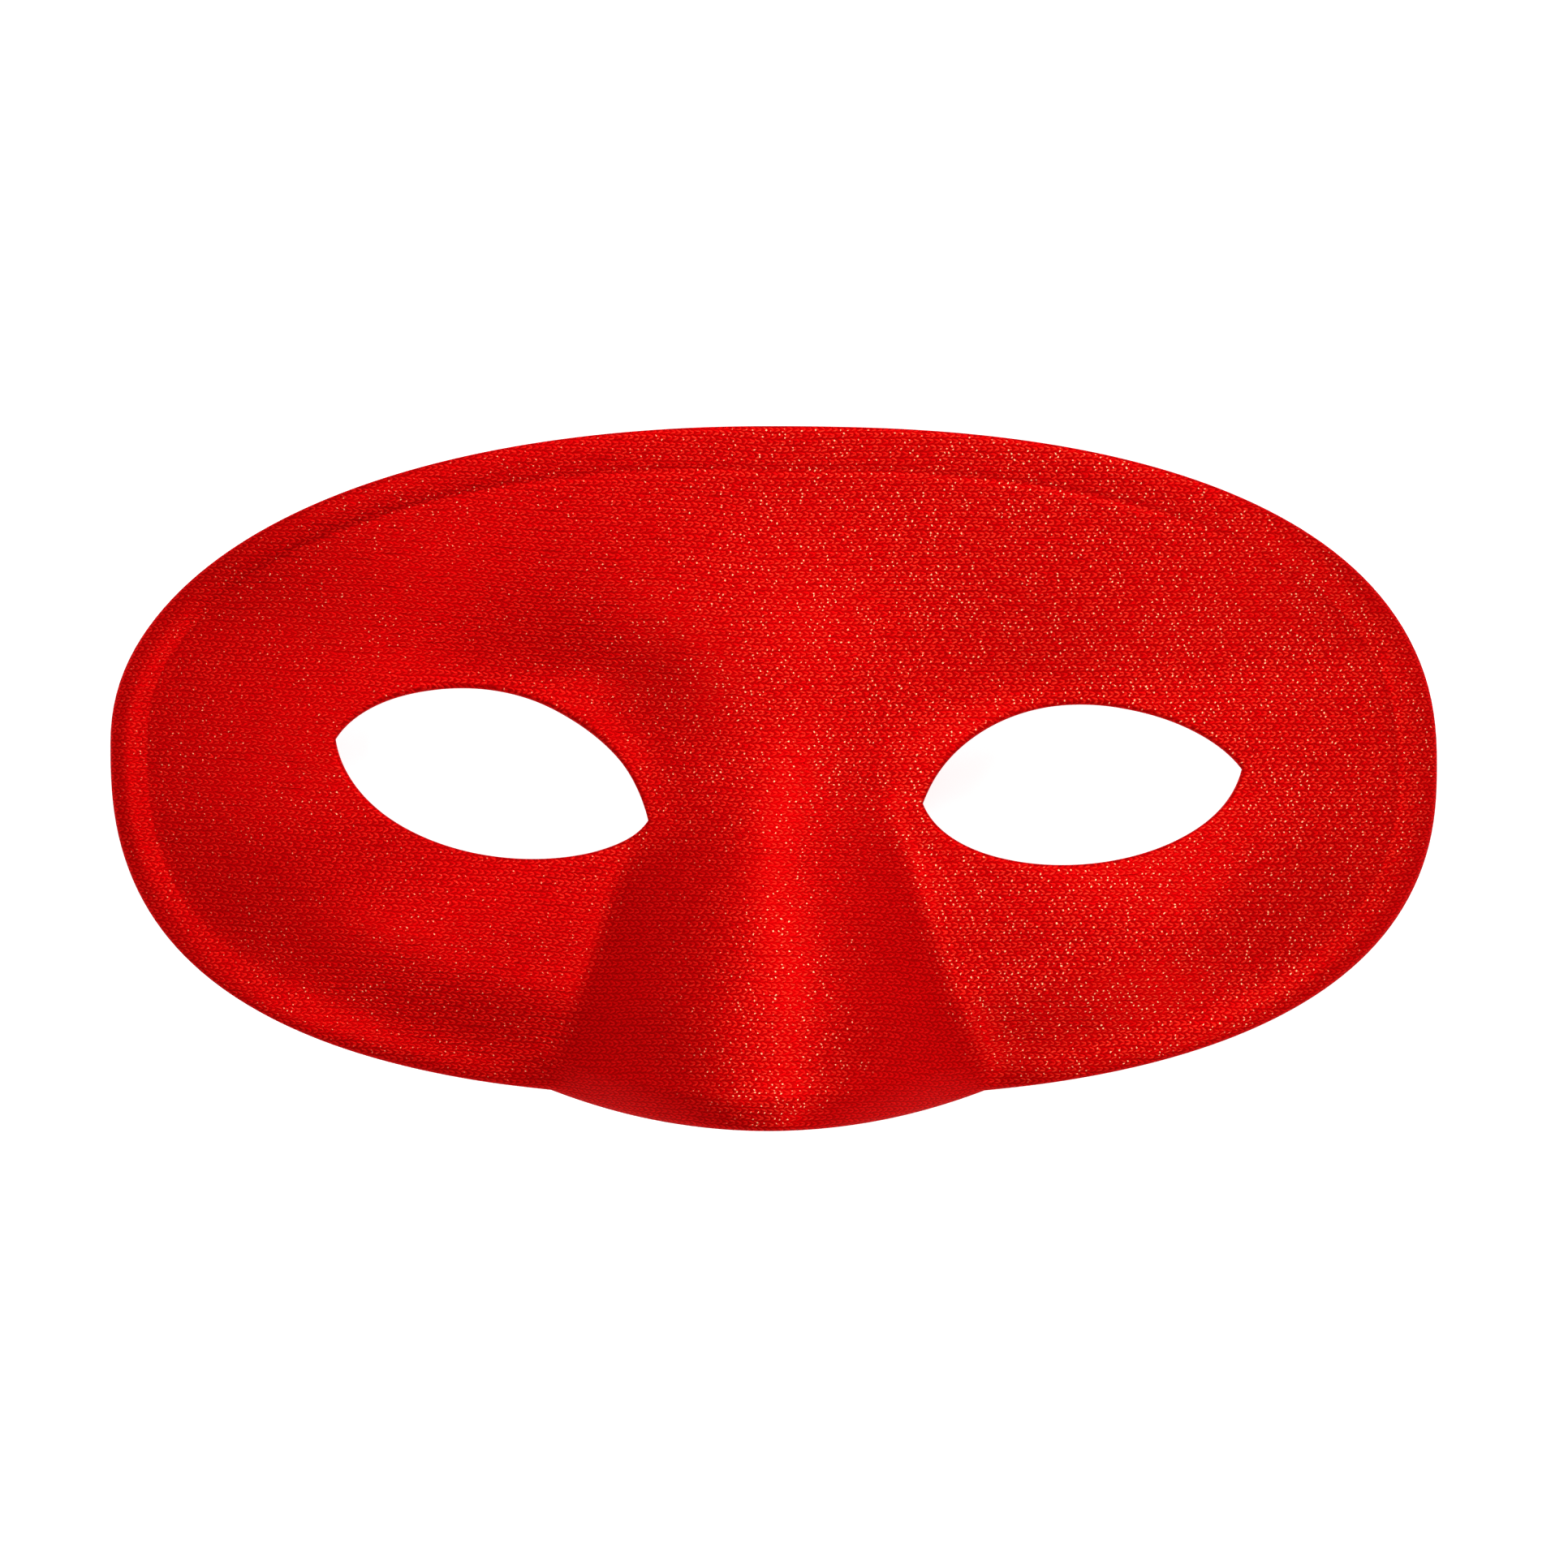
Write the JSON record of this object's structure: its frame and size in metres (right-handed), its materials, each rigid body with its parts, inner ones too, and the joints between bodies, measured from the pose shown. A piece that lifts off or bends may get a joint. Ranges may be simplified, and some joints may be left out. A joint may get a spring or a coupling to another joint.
{
  "type": "costume eye mask",
  "caption": "Red knit-covered half-face costume mask, one moulded shell with a rolled rim, a raised nose with a lip below it and almond eye holes, lying face up.",
  "frame": {"origin": "under the middle of the mask's outline, on the plane that its two ends rest on", "axes": "+X across the face to the picture's right, +Y towards the forehead, +Z out of the face, with the mask lying face up"},
  "size_m": [0.185, 0.097, 0.0425],
  "materials": {
    "red_knit": "fine knit with a soft satin sheen and a few pale glints"
  },
  "bodies": {
    "root": {"mask_shell": "red_knit"}
  },
  "joints": []
}
